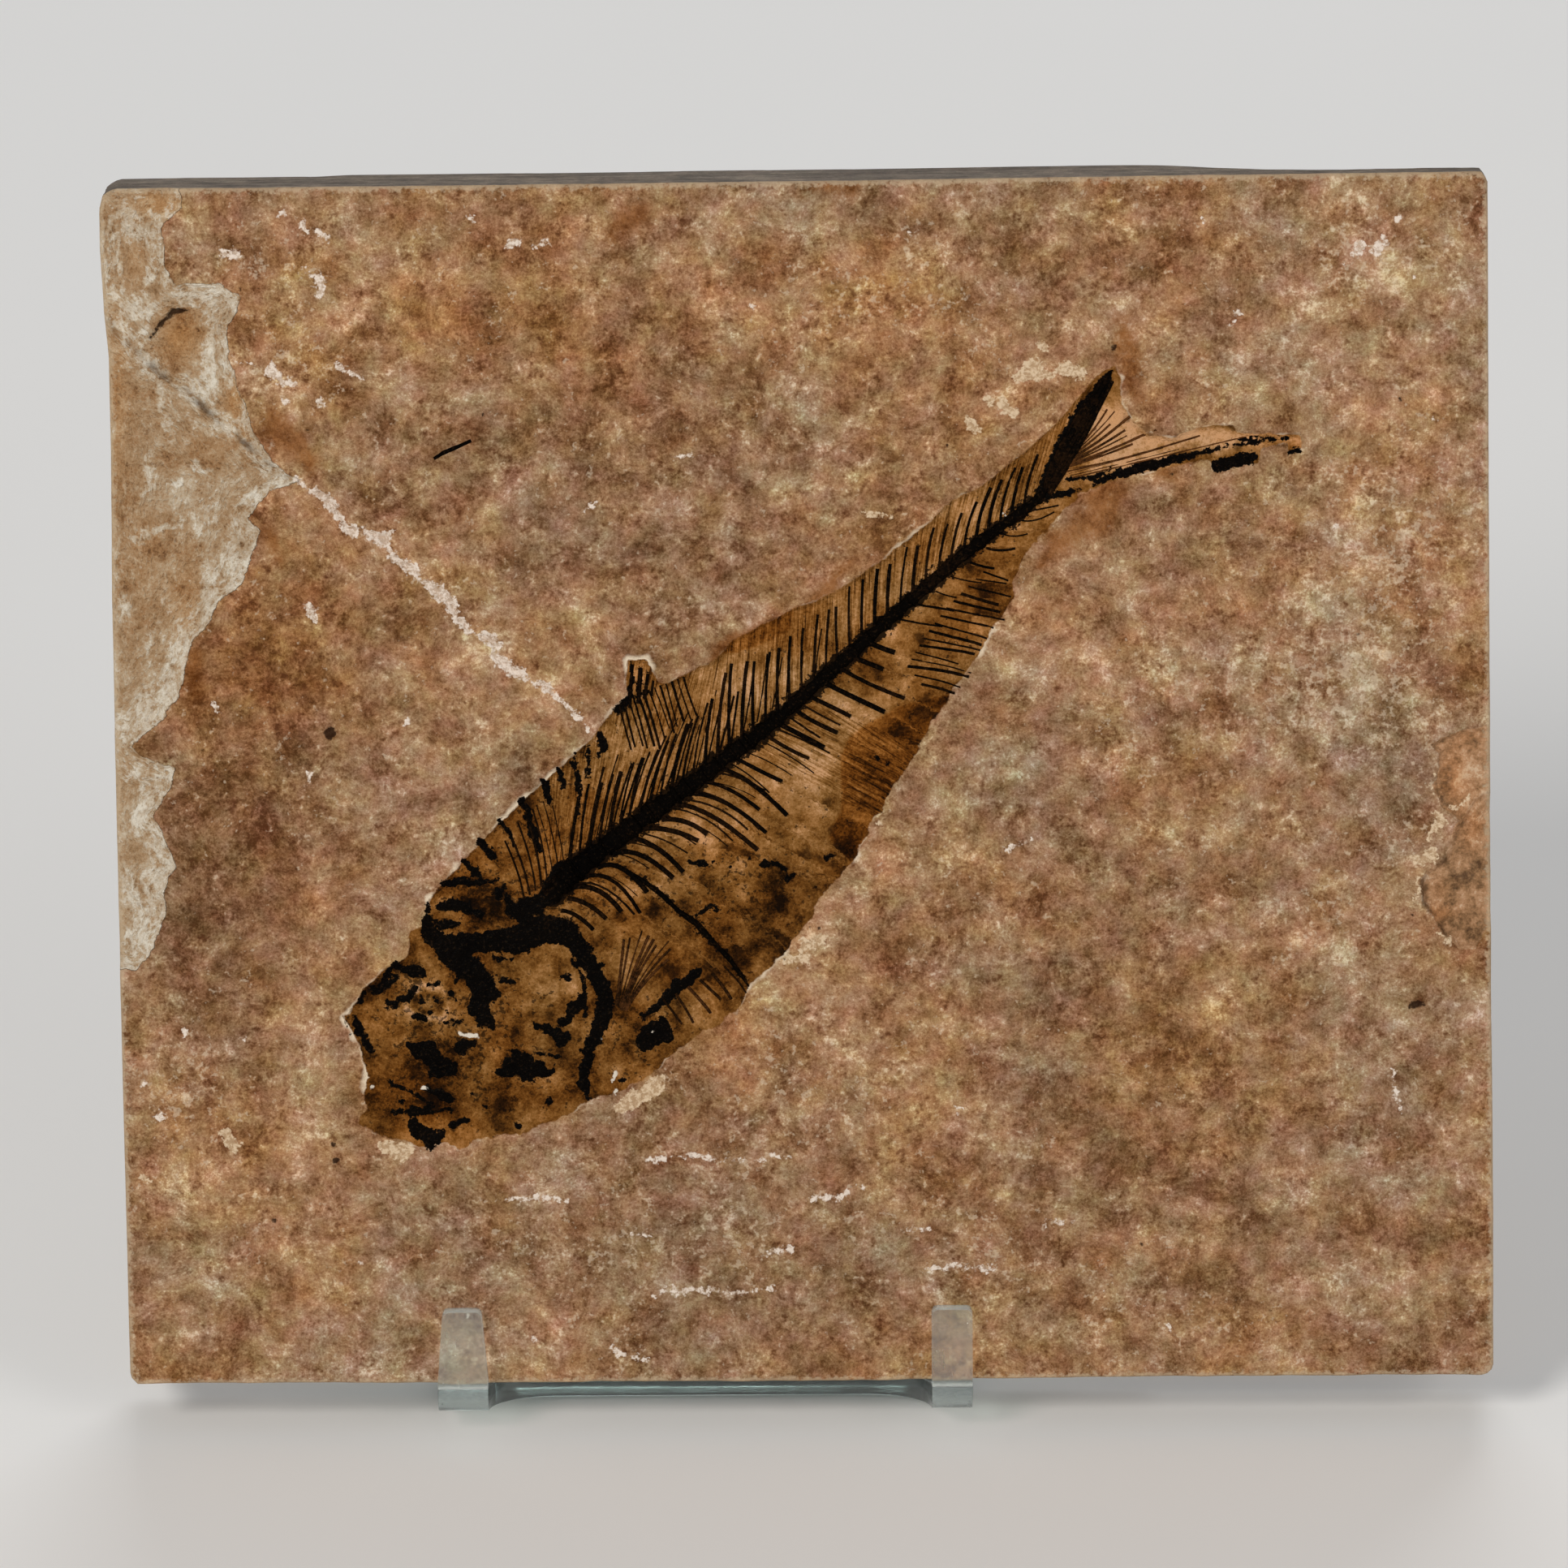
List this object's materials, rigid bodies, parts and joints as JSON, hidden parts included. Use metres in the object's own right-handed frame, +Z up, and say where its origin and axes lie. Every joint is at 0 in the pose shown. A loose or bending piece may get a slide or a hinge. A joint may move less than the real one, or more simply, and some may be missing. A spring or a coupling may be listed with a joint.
{
  "type": "fossil fish slab on easel",
  "caption": "Fossil Diplomystus fish in low relief on a sawn limestone slab, leaning back on a bent clear plastic easel.",
  "frame": {"origin": "on the table, in the middle of the bounding box", "axes": "+X to the viewer's right along the slab's bottom edge, -Y towards the viewer, +Z up"},
  "size_m": [0.115, 0.0554, 0.1025],
  "materials": {
    "limestone": "matt, fine grained, with a glossier dark brown fish",
    "clear_plastic": "clear, polished"
  },
  "bodies": {
    "root": {"fossil_slab": "limestone", "display_easel": "clear_plastic"}
  },
  "joints": []
}
